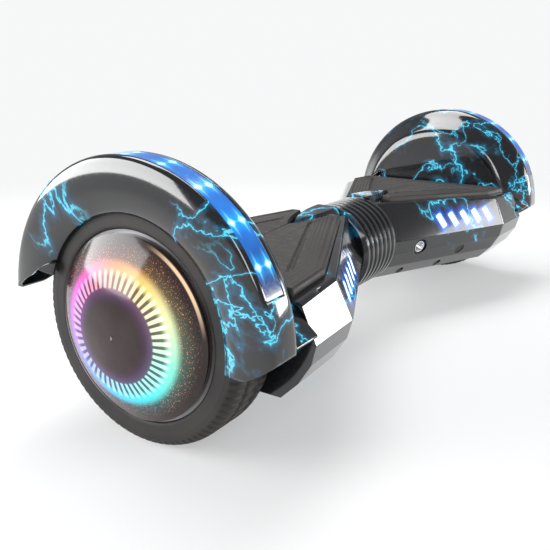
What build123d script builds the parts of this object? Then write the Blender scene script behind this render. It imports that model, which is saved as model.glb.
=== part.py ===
from build123d import *
import os
from math import atan2, cos, degrees, radians, sin, tan

# Self balancing hoverboard on two hub motor wheels, in millimetres.
# +X runs along the wheel axle, -Y is the front with the lights, +Z is up.
# The origin is on the ground, under the middle of the board. Each sub-part is modelled for
# the +X ("right") half and mirrored for the -X ("left") half.

# ---- Driving dimensions ----
wheel_radius = 82.5          # 6.5 inch tyre
tyre_width = 42.0
wheel_x = 260.0              # middle plane of each tyre
rim_radius = 64.0            # seat of the tyre
dome_rise = 20.0             # hub cover beyond the tyre's side
neck_x = 32.0                # inner end of each half's shells
neck_y = 37.0                # half width there, at the waist line
corner_x = 178.0             # where the slanted side meets the straight side
corner_y = 103.0
end_y = 106.0                # half width at the wheel end, at the waist line
waist_z = 78.0               # parting line of the shells, and the twist axis
deck_end_z = 104.0           # deck height at the wheel end
deck_slope = 3.2             # degrees, the deck rises towards the middle
side_lean = 0.44             # inward lean of the upper side, per unit of height
belly_z = 36.0               # underside of the bottom shell
wall = 2.5                   # moulded shells
fender_radius = 110.0
fender_wall = 3.0
arch_radius = 74.0           # opening of the fender's outer face
rim_band = 24.0              # width of the fender's rim
pad_thickness = 11.0         # foot pad, of which part sits in its pocket
pad_stand = 5.5              # how far the pad stands above the deck
pad_travel = 1.5
pad_margin = 7.0             # deck left bare around the pad
axle_radius = 8.0
tube_radius = 12.5           # twist pivot tube
knuckle_radius = 38.0
rib_height = 4.0
rib_count = 7
twist_range = 12.0           # degrees each way, stated by the joint
button_radius = 5.5
button_travel = 1.5
screw_radius = 2.0
port_radius = 8.0

# ---- Clearances ----
gap = 0.3                    # between separate mouldings
fit = 0.02                   # seated or pressed pieces
running = 0.05               # shaft in its bearing or bush
tyre_room = 3.0              # tyre to fender's inner wall

# ---- Derived places ----
axle_z = wheel_radius
tyre_in_x = wheel_x - tyre_width / 2
tyre_out_x = wheel_x + tyre_width / 2
fender_out_x = tyre_out_x + fender_wall + 2.0
fender_in_x = tyre_in_x - tyre_room - fender_wall
body_end_x = fender_in_x - gap
rim_edge_x = fender_out_x - rim_band
slope = radians(deck_slope)
deck_rise = tan(slope)
deck_mid_z = deck_end_z + body_end_x * deck_rise
deck_plane = Plane(origin=(0, 0, deck_mid_z), x_dir=(cos(slope), 0, -sin(slope)), z_dir=(sin(slope), 0, cos(slope)))
side_angle = atan2(corner_y - neck_y, corner_x - neck_x)
end_angle = atan2(end_y - corner_y, body_end_x - corner_x)
plate_z = deck_end_z - 18.0          # underside of the chassis plate
plate_thickness = 5.0
plate_top = plate_z + plate_thickness
floor_z = belly_z + wall             # inside of the bottom shell
sleeve_radius = tube_radius + 5.5
sleeve_bore = tube_radius + 2.5
sleeve_end = neck_x + 66.0


def mirrored(shape):
    return mirror(shape, about=Plane.YZ)


def block(x0, x1, y0, y1, z0, z1):
    return Pos((x0 + x1) / 2, (y0 + y1) / 2, (z0 + z1) / 2) * Box(x1 - x0, y1 - y0, z1 - z0)


def turned(profile, z=axle_z):
    """A solid of revolution about a line along X at height z, from a closed (x, radius) outline."""
    face = Plane.XZ * Polygon(*profile, align=None)
    return Pos(0, 0, z) * revolve(face, Axis.X, 360)


def ring(x0, x1, r0, r1, z=axle_z):
    return turned([(x0, r0), (x1, r0), (x1, r1), (x0, r1)], z)


def post(x, y, z0, z1, radius):
    return Pos(x, y, (z0 + z1) / 2) * Cylinder(radius, z1 - z0)


def prism_x(points, x0, x1):
    """A (y, z) outline carried along X from x0 to x1."""
    face = Plane.YZ * Polygon(*points, align=None)
    return Pos(x0, 0, 0) * extrude(face, x1 - x0, dir=(1, 0, 0))


def side_y(x, inset=0.0):
    """Half width of the slanted side at x, at the waist line moved inwards by inset."""
    return neck_y - inset / cos(side_angle) + tan(side_angle) * (x - neck_x)


def outline(inset, inner=neck_x, outer=body_end_x):
    """Plan of one half, moved inwards by inset: neck, corner and wheel end, both sides."""
    start = neck_y - inset / cos(side_angle) - tan(side_angle) * neck_x
    finish = end_y - inset / cos(end_angle) - tan(end_angle) * body_end_x
    cx = (finish - start) / (tan(side_angle) - tan(end_angle))
    cy = start + tan(side_angle) * cx
    front = [(inner, start + tan(side_angle) * inner), (cx, cy), (outer, finish + tan(end_angle) * outer)]
    return [(x, -y) for x, y in front] + [(x, y) for x, y in reversed(front)]


def stack(levels, inner=neck_x, outer=body_end_x):
    """A solid through plan outlines at (height, inset) levels, with flat sides between them."""
    return loft([Pos(0, 0, z) * Polygon(*outline(i, inner, outer), align=None) for z, i in levels], ruled=True)


def below_deck(shape, depth=0.0):
    return split(shape, bisect_by=deck_plane.offset(-depth), keep=Keep.BOTTOM)


def long_edges(shape, near_x, tolerance=14.0):
    """Edges of the slanting corner beside the straight side, front and back."""
    tall = [e for e in shape.edges() if abs((e @ 0).Z - (e @ 1).Z) > 8]
    return [e for e in tall if abs(e.center().X - near_x) < tolerance]


# ---- Wheels ----

def tyre():
    """Tyre on the rim, with rounded shoulders and two grooves round the tread."""
    section = Pos(wheel_x, (wheel_radius + rim_radius) / 2) * Rectangle(tyre_width, wheel_radius - rim_radius)
    section = fillet(section.vertices().group_by(Axis.Y)[-1], 9)
    section = fillet(section.vertices().group_by(Axis.Y)[0], 1.5)
    body = Pos(0, 0, axle_z) * revolve(Plane.XZ * section, Axis.X, 360)
    groove = 1.2
    for x in (wheel_x - tyre_width / 6, wheel_x + tyre_width / 6):
        body -= ring(x - groove, x + groove, wheel_radius - 2, wheel_radius + 1)
    return body


bearing_width = 8.0
bearing_radius = axle_radius + 8.0
rim_out_x = tyre_out_x - 2.0          # outer edge of the rim
rim_in_x = tyre_in_x + 2.0            # inner edge of the rim
rim_thickness = 5.0
can_bore = rim_radius - rim_thickness
end_wall = 4.0


def rim():
    """Outer can of the hub motor: the tyre seat and the outer wall with its bearing seat."""
    can = ring(rim_in_x, rim_out_x, can_bore, rim_radius - fit)
    outer_wall = ring(rim_out_x - 2 - end_wall, rim_out_x - 2, bearing_radius + fit, can_bore)
    seat = ring(rim_out_x - 2 - bearing_width, rim_out_x - 2, bearing_radius + fit, bearing_radius + 3)
    return can + outer_wall + seat


def motor_cover():
    """Inner end cover of the motor, bolted into the can, with its bearing seat."""
    disc = ring(rim_in_x, rim_in_x + end_wall, bearing_radius + fit, can_bore - fit)
    seat = ring(rim_in_x, rim_in_x + bearing_width, bearing_radius + fit, bearing_radius + 3)
    return disc + seat


def wheel_bearings():
    """The two ball bearings that the wheel turns on, one in each end of the can."""
    inner = ring(rim_in_x, rim_in_x + bearing_width, axle_radius + running, bearing_radius)
    outer = ring(rim_out_x - 2 - bearing_width, rim_out_x - 2, axle_radius + running, bearing_radius)
    return Compound(children=[inner, outer])


motor_in_x = rim_in_x + bearing_width + 2
motor_out_x = rim_out_x - 2 - bearing_width - 2
magnet_height = 3.0
stator_radius = can_bore - magnet_height - 0.8


def magnet_ring():
    """Magnets on their steel band inside the can, with a slot between each pair."""
    magnets = 20
    band = ring(motor_in_x, motor_out_x, can_bore - magnet_height, can_bore - fit)
    for i in range(magnets):
        slot = block(motor_in_x - 1, motor_out_x + 1, -0.8, 0.8, can_bore - magnet_height - 1, can_bore - 1)
        band -= Pos(0, 0, axle_z) * Rot(360 / magnets * i, 0, 0) * slot
    return band


stator_teeth = 18
tooth_half = 2.6
core_in = motor_in_x + 3.5
core_out = motor_out_x - 3.5


def stator_core():
    """Laminated core keyed on the axle, with wide teeth ends facing the magnets."""
    core = ring(core_in, core_out, axle_radius + fit, 30)
    head = ring(core_in, core_out, stator_radius - 2.5, stator_radius)
    for i in range(stator_teeth):
        turn = Pos(0, 0, axle_z) * Rot(360 / stator_teeth * i, 0, 0)
        core += turn * block(core_in, core_out, -tooth_half, tooth_half, 29, stator_radius - 1)
        head -= turn * Rot(180 / stator_teeth, 0, 0) * block(core_in - 1, core_out + 1, -1.2, 1.2, stator_radius - 4, stator_radius + 1)
    return core + head


def windings():
    """One copper coil round each tooth."""
    coils = []
    outer = block(core_in - 3, core_out + 3, -tooth_half - 1.6, tooth_half + 1.6, 34, stator_radius - 3)
    hole = block(core_in - 0.1, core_out + 0.1, -tooth_half - 0.1, tooth_half + 0.1, 33, stator_radius - 2)
    for i in range(stator_teeth):
        coils.append(Pos(0, 0, axle_z) * Rot(360 / stator_teeth * i, 0, 0) * (outer - hole))
    return Compound(children=coils)


clamp_out_x = body_end_x - 4.0        # outer face of the axle's seat
clamp_length = 24.0
clamp_in_x = clamp_out_x - clamp_length
clamp_half = 21.0
flat_half = 6.5
axle_end_x = rim_out_x - 2


def axle():
    """Motor axle: round in the bearings, a shoulder inside the wheel, and two flats where it is clamped."""
    shaft = ring(clamp_out_x + 2, axle_end_x, 0, axle_radius)
    shaft += ring(body_end_x + 1, rim_in_x - gap, 0, axle_radius + 3)
    return shaft + flatted(clamp_in_x - 2, clamp_out_x + 3)


def flatted(x0, x1, grow=0.0):
    """The axle's clamped end: a round bar with a flat on each side."""
    flat = flat_half + grow
    return ring(x0, x1, 0, axle_radius + grow) & block(x0, x1, -flat, flat, axle_z - 20, axle_z + 20)


dome_radius = rim_radius - 2.0
dome_base_x = rim_out_x
dome_top_x = tyre_out_x + dome_rise
dome_wall = 2.0


def hub_cover():
    """Tinted domed cover over the wheel's light ring, seated on the can's outer edge."""
    edge_x = tyre_out_x + 2.0
    rise = dome_top_x - edge_x
    sphere_radius = (dome_radius ** 2 + rise ** 2) / (2 * rise)

    def arc_point(radius, depth):
        height = ((sphere_radius - depth) ** 2 - radius ** 2) ** 0.5
        return (dome_top_x - sphere_radius + height, radius)

    def cap_arc(depth, outer):
        return ThreePointArc(arc_point(0, depth), arc_point(outer / 2, depth), arc_point(outer, depth))

    top, under = cap_arc(0, dome_radius), cap_arc(dome_wall, dome_radius - dome_wall)
    foot = Polyline(top @ 1, (dome_base_x, dome_radius), (dome_base_x, dome_radius - dome_wall - 1),
                    (edge_x - dome_wall, dome_radius - dome_wall - 1), under @ 1)
    section = make_face([top, foot, under, Line(under @ 0, top @ 0)])
    return Pos(0, 0, axle_z) * revolve(Plane.XZ * section, Axis.X, 360)


def hub_light_board():
    """Ring board behind the hub cover, with a lamp for each second tick of the light ring."""
    board_x = rim_out_x - 2 + fit
    board = ring(board_x, board_x + 1.6, 26, dome_radius - 4)
    lamps = 24
    for i in range(lamps):
        lamp = block(board_x + 1.6, board_x + 2.6, -2, 2, 40, 44)
        board += Pos(0, 0, axle_z) * Rot(360 / lamps * i, 0, 0) * lamp
    return board


# ---- Fenders ----
front_tip = (-fender_radius, axle_z + 1.5)
rear_tip = (fender_radius, axle_z + 9.5)
skirt_low = (-91.0, axle_z - 10.5)
inner_foot = (64.0, axle_z - 20.0)    # bottom corners of the inner wall
rear_notch = (69.0, axle_z + 34.5)    # where the rear edge meets the inner wall
lens_start = 20.0                     # degrees up from the front, along the rim
lens_end = 160.0
lens_in_x = rim_edge_x + 4.0
lens_out_x = fender_out_x - 3.5


def wedge(a0, a1, x0, x1, reach=220.0):
    """The part of space between two angles about the axle, measured up from the front."""
    steps = 4
    angles = [radians(a0 + (a1 - a0) * i / steps) for i in range(steps + 1)]
    points = [(0.0, axle_z)] + [(-reach * cos(a), axle_z + reach * sin(a)) for a in angles]
    return prism_x(points, x0, x1)


def fender():
    """Wheel cover: outer face with its arch, rim with the light window, shoulder and inner wall."""
    shoulder = fender_radius - 22.0
    outer = turned([(fender_in_x, 0), (fender_in_x, shoulder), (rim_edge_x, fender_radius),
                    (fender_out_x, fender_radius), (fender_out_x, 0)])
    t = fender_wall
    inner = turned([(fender_in_x + t, 0), (fender_in_x + t, shoulder - t / 2), (rim_edge_x + t / 2, fender_radius - t),
                    (fender_out_x - t, fender_radius - t), (fender_out_x - t, 0)])
    shell = outer - inner - ring(fender_out_x - t - 1, fender_out_x + 1, 0, arch_radius)
    top = axle_z + fender_radius + 10
    wide = fender_radius + 20
    keep = prism_x([(-wide, front_tip[1]), front_tip, skirt_low, (-arch_radius + 4, skirt_low[1] - 1),
                    (-inner_foot[0], inner_foot[1]), inner_foot, rear_notch, rear_tip, (wide, rear_tip[1]),
                    (wide, top), (-wide, top)], fender_in_x - 1, fender_out_x + 1)
    shell = shell & keep
    shell += front_block()
    shell -= wedge(lens_start, lens_end, lens_in_x, lens_out_x) - ring(lens_in_x, lens_out_x, 0, fender_radius - t - 2)
    shell -= ring(fender_in_x - 1, fender_in_x + t + 1, 0, axle_radius + 6)
    return shell


def front_block():
    """The fender's foot in front of the wheel, with a sloping top from the deck to the fender's tip."""
    points = [(-80, deck_end_z - 1), (-88, deck_end_z - 1), (front_tip[0] + 3, front_tip[1] + 3),
              (front_tip[0] + 4, front_tip[1]), skirt_low, (-76, skirt_low[1])]
    body = prism_x(points, fender_in_x, fender_out_x - 1)
    return body - ring(fender_in_x - 1, fender_out_x, 0, wheel_radius + 4.5)


def fender_lens():
    """Translucent window in the rim, over the lamps."""
    arc = ring(lens_in_x + gap, lens_out_x - gap, fender_radius - 1.8, fender_radius)
    trim = degrees(gap / fender_radius)
    return arc & wedge(lens_start + trim, lens_end - trim, lens_in_x, lens_out_x)


lamp_rows = 9
lamp_pitch = 15.0


def fender_led_strip():
    """Flexible board under the window with two lamps in each row."""
    under = fender_radius - fender_wall
    arc = ring(lens_in_x - 1.5, lens_out_x + 0.4, under - 1.2 - fit, under - fit)
    strip = arc & wedge(lens_start - 1, lens_end + 1, lens_in_x - 3, lens_out_x + 3)
    for row in range(lamp_rows):
        angle = 90 + lamp_pitch * (row - (lamp_rows - 1) / 2)
        for x in (lens_in_x + 3.5, lens_out_x - 3.5):
            lamp = Pos(x, 0, under + 0.3) * Box(3.5, 3.5, 1.4)
            strip += Pos(0, 0, axle_z) * Rot(90 - angle, 0, 0) * lamp
    return strip


# ---- Shells ----
slot_count = 5
slot_width = 7.0
slot_length = 15.0
slot_pitch = 17.0
slot_lean = 24.0                      # degrees off the panel's fall line
slots_from_corner = 18.0


def side_panel_plane(distance):
    """Plane on the slanted upper side at a distance along it from the corner, x along the side."""
    lean = atan2(1, side_lean)
    height = 13.0
    x = corner_x - distance * cos(side_angle)
    normal = Vector(-sin(side_angle) * sin(lean), -cos(side_angle) * sin(lean), cos(lean))
    origin = Vector(x, -side_y(x, side_lean * height), waist_z + height)
    return Plane(origin=origin, x_dir=(-cos(side_angle), sin(side_angle), 0), z_dir=normal)


def slot_bars(depth, grow=0.0, rise=0.0):
    """The slanted light slots as bars sunk to a depth under the panel."""
    bars = []
    for i in range(slot_count):
        place = side_panel_plane(slots_from_corner + slot_pitch * i)
        face = place * Rot(0, 0, slot_lean) * RectangleRounded(slot_width + 2 * grow, slot_length + 2 * grow, 1.8)
        bars.append(extrude(face, rise) + extrude(face, -depth))
    return bars


def almond(grow=0.0):
    """Plan of the nose that laps over the deck at the neck: two arcs that meet at a point."""
    half = 14.0 + grow
    tip = neck_x + 62.0 + 2 * grow
    start = neck_x - 6.0
    lower = ThreePointArc((start, -half * 0.86), (neck_x + 22, -half * 0.92), (tip, 0))
    upper = ThreePointArc((tip, 0), (neck_x + 22, half * 0.92), (start, half * 0.86))
    return make_face([lower, upper, Line((start, half * 0.86), (start, -half * 0.86))])


pad_inner_x = neck_x + 20.0
pad_outer_x = body_end_x - 5.0
deck_inset = side_lean * (deck_end_z - waist_z + 3.0)


def pad_face(grow=0.0):
    """Plan of the foot pad in the deck's plane, with a notch for the nose."""
    plan = outline(deck_inset + pad_margin - grow, pad_inner_x - grow, pad_outer_x + grow)
    return Polygon(*plan, align=None) - almond(0.8 - grow)


pocket_depth = pad_thickness - pad_stand + pad_travel + 0.7
plunger_spots = [(x, y) for x in (119.0, 185.0) for y in (-32.0, 32.0)]
boss_spots = [(118.0, -52.0), (118.0, 52.0), (208.0, -76.0), (208.0, 76.0), (70.0, -30.0), (70.0, 30.0)]
boss_radius = 6.0
screw_head_z = waist_z - 12.0
screw_bite = 5.0
top_levels = [(waist_z + gap / 2, 0.0), (deck_mid_z + 20, side_lean * (deck_mid_z + 20 - waist_z))]


def upper_body(skin=0.0):
    """The upper half's outer form, or with a skin the space inside it."""
    levels = [(z, i + skin * 1.1) for z, i in top_levels]
    form = stack(levels, neck_x + skin, body_end_x - skin)
    return below_deck(form, skin)


def top_shell():
    """Upper moulding: sloping sides, deck with the pad's pocket, screw bosses and light slots."""
    outer = upper_body()
    outer = fillet(long_edges(outer, corner_x - 8), 9)
    deck_edges = outer.edges().filter_by(lambda e: abs(deck_plane.to_local_coords(e.center()).Z) < 0.1)
    outer = fillet([e for e in deck_edges if abs(e.center().Y) > 5], 4)
    shell = outer - (upper_body(wall) + Pos(0, 0, -1) * upper_body(wall))
    tray = extrude(deck_plane * pad_face(gap + 2), -pocket_depth - 2)
    pocket = extrude(deck_plane * pad_face(gap), -pocket_depth) + extrude(deck_plane * pad_face(gap), 5)
    shell = shell + (tray & outer) - pocket
    for x, y in boss_spots:
        top = deck_mid_z - x * deck_rise - pocket_depth - 1
        shell += post(x, y, plate_top + gap, top, boss_radius - 1)
        shell -= post(x, y, plate_top, plate_top + screw_bite + 0.5, screw_radius + 0.1)
    for x, y in plunger_spots:
        shell -= post(x, y, plate_top + 1, deck_mid_z, 5)
    shell -= ring(neck_x - 1, neck_x + wall + 1, 0, sleeve_radius + gap, waist_z)
    shell -= ring(body_end_x - wall - 1, body_end_x + 1, 0, axle_radius + 6)
    for bar in slot_bars(8, gap, 3):
        shell -= bar
    return shell


belly_levels = [(waist_z - gap / 2, 0.0), (waist_z - 14, 3.5), (waist_z - 29, 13.0), (belly_z, 26.0)]


def lower_body(skin=0.0):
    """The lower half's outer form, or with a skin the space inside it."""
    levels = [(z, i + skin * 1.2) for z, i in belly_levels]
    if skin:
        levels[-1] = (belly_z + skin, belly_levels[-1][1] + skin * 0.4)
    return stack(levels, neck_x + skin, body_end_x - skin)


def bottom_shell():
    """Lower moulding: faceted belly with screw bosses up to the chassis."""
    shell = fillet(long_edges(lower_body(), corner_x - 8, 20), 8) - lower_body(wall)
    shell -= Pos(0, 0, gap) * lower_body(wall)
    for x, y in boss_spots:
        shell += post(x, y, belly_z + 1, waist_z - 1, boss_radius) & lower_body()
        shell += post(x, y, waist_z - 4, plate_z - gap, boss_radius)
    for x, y in boss_spots:
        shell -= post(x, y, belly_z - 5, plate_z, screw_radius + 0.1) + post(x, y, belly_z - 5, screw_head_z, 4.2)
    shell -= ring(neck_x - 1, neck_x + wall + 1, 0, sleeve_radius + gap, waist_z)
    shell -= ring(body_end_x - wall - 1, body_end_x + 1, 0, axle_radius + 6)
    return shell


def right_bottom_shell():
    """The bottom shell that also carries the charging port, the power button and the speaker's grille."""
    shell = bottom_shell()
    shell -= extrude(port_plane * Circle(port_radius + 0.5), wall + 4, both=True)
    shell -= extrude(button_plane * Circle(button_radius + gap), wall + 4, both=True)
    for i in range(-2, 3):
        for j in range(-2, 3):
            shell -= post(speaker_x + 6 * i, 6 * j, belly_z - 1, belly_z + wall + 1, 1.2)
    return shell


def belly_plane(x, z, level):
    """Plane on the front of the lower side at x and height z, within one level of the belly."""
    (z0, i0), (z1, i1) = belly_levels[level], belly_levels[level + 1]
    lean = atan2(i1 - i0, z0 - z1)
    inset = i0 + (z0 - z) * (i1 - i0) / (z0 - z1)
    normal = (-sin(side_angle) * cos(lean), -cos(side_angle) * cos(lean), -sin(lean))
    return Plane(origin=(x, -side_y(x, inset), z), x_dir=(cos(side_angle), -sin(side_angle), 0), z_dir=normal)


port_plane = belly_plane(70.0, waist_z - 10, 0)
button_plane = belly_plane(130.0, waist_z - 22, 1)
speaker_x = 150.0


def charge_port():
    """Round metal charging socket with its flange behind the shell and three pins."""
    barrel = extrude(port_plane.offset(-1) * Circle(port_radius - 2), -12) - extrude(port_plane * Circle(port_radius - 3), -9)
    flange = extrude(port_plane.offset(-wall - 2.8) * Circle(port_radius + 1.5), -2)
    pins = [extrude(port_plane.offset(-10) * Pos(2.4 * cos(a), 2.4 * sin(a)) * Circle(0.7), 3) for a in (0.5, 2.6, 4.7)]
    return barrel + flange + pins


def power_button():
    """Push button that slides in its housing behind the shell."""
    cap = extrude(button_plane.offset(-0.6) * Circle(button_radius), -6)
    return cap + extrude(button_plane.offset(-wall - 2.0) * Circle(button_radius + 1), -1.5)


def button_housing():
    """Cup behind the shell that guides the button, with the switch at its back."""
    start = button_plane.offset(-wall - 1.2)
    return extrude(start * Circle(button_radius + 2.2), -8) - extrude(start * Circle(button_radius + 1.3), -button_travel - 4.5)


def speaker():
    """Small loudspeaker on the floor of the shell."""
    body = post(speaker_x, 0, floor_z + gap, floor_z + 5, 19) + post(speaker_x, 0, floor_z + 5, floor_z + 12, 11)
    return body


# ---- Chassis and pivot ----
plate_inset = 16.0
rib_depth = 6.0
rib_width = 4.0
seat_top = plate_top + 3.0
board_length = 88.0
board_in_x = sleeve_end + 10.0        # the boards and the battery start past the sleeve and its wires
board_out_x = board_in_x + board_length
board_half = 40.0
board_gap = 8.0


def chassis():
    """Cast plate with edge ribs, the axle's seat, the pivot sleeve and standoffs for the boards."""
    inner, outer = neck_x + 8, body_end_x - 4
    plate = extrude(Pos(0, 0, plate_z) * Polygon(*outline(plate_inset, inner, outer), align=None), plate_thickness)
    edge = Polygon(*outline(plate_inset, inner, outer), align=None) \
        - Polygon(*outline(plate_inset + rib_width, inner + rib_width, outer - rib_width), align=None)
    edge = extrude(Pos(0, 0, plate_z - rib_depth) * edge, rib_depth + 1)
    body = plate + edge + block(clamp_in_x, clamp_out_x, -clamp_half, clamp_half, axle_z + gap / 2, seat_top)
    body += ring(2, sleeve_end, 0, sleeve_radius, waist_z)
    body += block(sleeve_end - 8, sleeve_end, -34, 34, plate_z - rib_depth, plate_z + 1)
    for x, y in boss_spots:
        body -= post(x, y, plate_z - rib_depth - 1, plate_z, boss_radius + gap)
        body -= post(x, y, plate_z - 1, plate_top + 1, screw_radius + 0.2)
    body -= block(clamp_in_x - gap, clamp_out_x + 1, -clamp_half - gap, clamp_half + gap, clamp_low, axle_z + gap / 2)
    body -= flatted(clamp_in_x - 3, clamp_out_x + 1, fit)
    body -= block(sleeve_end, sleeve_end + 10, -tube_radius - 6, tube_radius + 6, plate_z - rib_depth - 1, plate_top + 1)
    for x, y in clamp_spots:
        body -= post(x, y, axle_z - 1, seat_top - 1.5, screw_radius + fit)
    return body - ring(1, sleeve_end + 1, 0, sleeve_bore, waist_z)


clamp_spots = [(x, y) for x in (clamp_in_x + 6, clamp_out_x - 6) for y in (-15.0, 15.0)]
clamp_low = axle_z - 16.0


def right_chassis():
    """The right chassis also has four standoffs for the main board."""
    body = chassis()
    for x in (board_in_x + 5, board_out_x - 5):
        for y in (-board_half + 5, board_half - 5):
            body += post(x, y, plate_z - board_gap, plate_z + 1, 3)
    return body


def axle_clamp():
    """Cap under the axle's flats, screwed up into the chassis."""
    cap = block(clamp_in_x, clamp_out_x, -clamp_half, clamp_half, clamp_low, axle_z - gap / 2)
    cap -= flatted(clamp_in_x - 1, clamp_out_x + 1, fit)
    for x, y in clamp_spots:
        cap -= post(x, y, clamp_low - 1, axle_z, screw_radius + 0.1)
    return cap


def screws():
    """Six shell screws and four clamp screws of one half, all driven from below."""
    group = []
    for x, y in boss_spots:
        group.append(post(x, y, screw_head_z, plate_top + screw_bite, screw_radius) + post(x, y, screw_head_z - 2.4, screw_head_z, 3.6))
    for x, y in clamp_spots:
        group.append(post(x, y, clamp_low, seat_top - 2, screw_radius) + post(x, y, clamp_low - 2.4, clamp_low, 3.6))
    return Compound(children=group)


def pivot_tube():
    """Steel tube through both sleeves, which the halves twist on."""
    return ring(-sleeve_end, sleeve_end + 4, tube_radius - 3.5, tube_radius, waist_z)


def pivot_bushes(play):
    """The two bushes of one sleeve."""
    ends = [ring(x, x + 20, tube_radius + play, sleeve_bore - fit, waist_z) for x in (3.0, sleeve_end - 21)]
    return Compound(children=ends)


def retaining_ring():
    """Clip on the tube's right end, outside the right sleeve."""
    return ring(sleeve_end + gap, sleeve_end + gap + 2, tube_radius + fit, tube_radius + 4, waist_z)


def wire_bundle():
    """Wires between the halves, through the pivot tube."""
    return ring(-sleeve_end - 6, sleeve_end + 8, 0, tube_radius - 3.5 - gap, waist_z)


def knuckle_cover():
    """Ribbed drum over the pivot between the halves, clipped to the left sleeve."""
    reach = neck_x - gap
    profile = [(-reach, knuckle_radius - 3), (-reach, knuckle_radius)]
    pitch = 2 * reach / rib_count
    for i in range(rib_count):
        x = -reach + pitch * i
        profile += [(x + pitch * 0.12, knuckle_radius), (x + pitch * 0.3, knuckle_radius + rib_height),
                    (x + pitch * 0.7, knuckle_radius + rib_height), (x + pitch * 0.88, knuckle_radius)]
    profile += [(reach, knuckle_radius), (reach, knuckle_radius - 3)]
    web = ring(-reach, -reach + 3, sleeve_radius + fit, knuckle_radius - 2, waist_z)
    return turned(profile, waist_z) + web


nose_height = 6.5


def nose():
    """Pointed nose on the deck at the neck, continuing the ribbed drum."""
    body = extrude(deck_plane * almond(), nose_height, taper=28) & block(neck_x, neck_x + 80, -30, 30, waist_z, deck_mid_z + 20)
    return Pos(0, 0, fit) * body


# ---- Foot pads, lamps and boards ----
board_thickness = 1.6
sensor_z = plate_top + gap
plunger_low = sensor_z + board_thickness + 1.6 + pad_travel + 0.5
groove_width = 1.2
groove_count = 4
first_groove = 30.0                   # from the pad's inner end
groove_pitch = 32.0


def foot_pad():
    """Rubber pad with a grooved top and four plungers over the foot sensors."""
    sunk = pad_thickness - pad_stand
    pad = extrude(deck_plane * pad_face(), -sunk) + extrude(deck_plane * pad_face(), pad_stand, taper=12)
    for i in range(groove_count):
        pad -= deck_plane * Pos(pad_inner_x + first_groove + groove_pitch * i, 0, pad_stand) * Box(groove_width, 220, 1.6)
    for y in (-44, -22, 22, 44):
        pad -= deck_plane * Pos(pad_outer_x / 2 + neck_x, y, pad_stand) * Box(220, groove_width, 1.6)
    for x, y in plunger_spots:
        top = deck_mid_z - x * deck_rise - sunk + 1
        pad += post(x, y, plunger_low, top, 4)
    return pad


def foot_sensor_board():
    """Board on the chassis plate with a switch under each plunger and the gyroscope in its middle."""
    xs = [x for x, y in plunger_spots]
    board = block(min(xs) - 7, max(xs) + 7, -42, 42, sensor_z, sensor_z + board_thickness)
    for x, y in plunger_spots:
        switch = block(x - 3.5, x + 4, y - 4, y + 4, sensor_z + board_thickness - 0.1, sensor_z + board_thickness + 1.6)
        board += switch
    middle = (min(xs) + max(xs)) / 2
    return board + block(middle - 5, middle + 5, -5, 5, sensor_z + board_thickness - 0.1, sensor_z + board_thickness + 1.2)


def front_light_lens():
    """Clear moulding behind the slanted side, with a bar standing in each slot."""
    panel = side_panel_plane(slots_from_corner + slot_pitch * (slot_count - 1) / 2)
    length = slot_pitch * slot_count + 4
    lens = extrude(panel.offset(-wall - gap - 0.3) * Rectangle(length, slot_length + 5), -1.6)
    for bar in slot_bars(wall + 1, 0, -0.2):
        lens += bar
    return lens


def front_light_board():
    """Lamp board behind the lens, one lamp for each bar."""
    panel = side_panel_plane(slots_from_corner + slot_pitch * (slot_count - 1) / 2)
    back = panel.offset(-wall - gap - 0.3 - 1.6 - gap - 1.2)
    board = extrude(back * Rectangle(slot_pitch * slot_count, slot_length + 3), -board_thickness)
    for i in range(slot_count):
        along = slot_pitch * (i - (slot_count - 1) / 2)
        board += extrude(back * Pos(along, 0) * Rectangle(4, 4), 0.8)
    return board


battery_low = floor_z + 5.5
strap_x = 150.0


def battery_pack():
    """Lithium cell pack under the chassis plate, with rounded edges like its shrink wrap."""
    pack = block(board_in_x - 2, board_out_x + 2, -45, 45, battery_low, plate_z - gap)
    return fillet(pack.edges().filter_by(Axis.X), 6)


def battery_strap():
    """Steel strap under the battery, with feet on the chassis plate."""
    low, side = battery_low - gap, 45 + gap
    strap = block(strap_x - 8, strap_x + 8, -side - 1.6, side + 1.6, low - 1.6, plate_z - gap)
    strap -= block(strap_x - 9, strap_x + 9, -side, side, low, plate_z)
    for way in (-1, 1):
        y0, y1 = sorted((way * (side + 1), way * (side + 8)))
        strap += block(strap_x - 8, strap_x + 8, y0, y1, plate_z - gap - 1.6, plate_z - gap)
    return strap


def main_board():
    """Control board with its capacitors, connectors and heat sink, screwed to the standoffs."""
    top = plate_z - board_gap - fit
    board = block(board_in_x, board_out_x, -board_half, board_half, top - board_thickness, top)
    low = top - board_thickness
    board += block(board_in_x + 34, board_in_x + 52, -32, 32, low - 9, low)
    for x, y in ((board_in_x + 14, -20), (board_in_x + 14, 0), (board_in_x + 14, 20)):
        board += post(x, y, low - 14, low, 6)
    for y in (-30, -15, 0, 15, 30):
        board += block(board_out_x - 14, board_out_x - 5, y - 5, y + 5, low - 7, low)
    return board


# ---- Write every node ----

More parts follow.
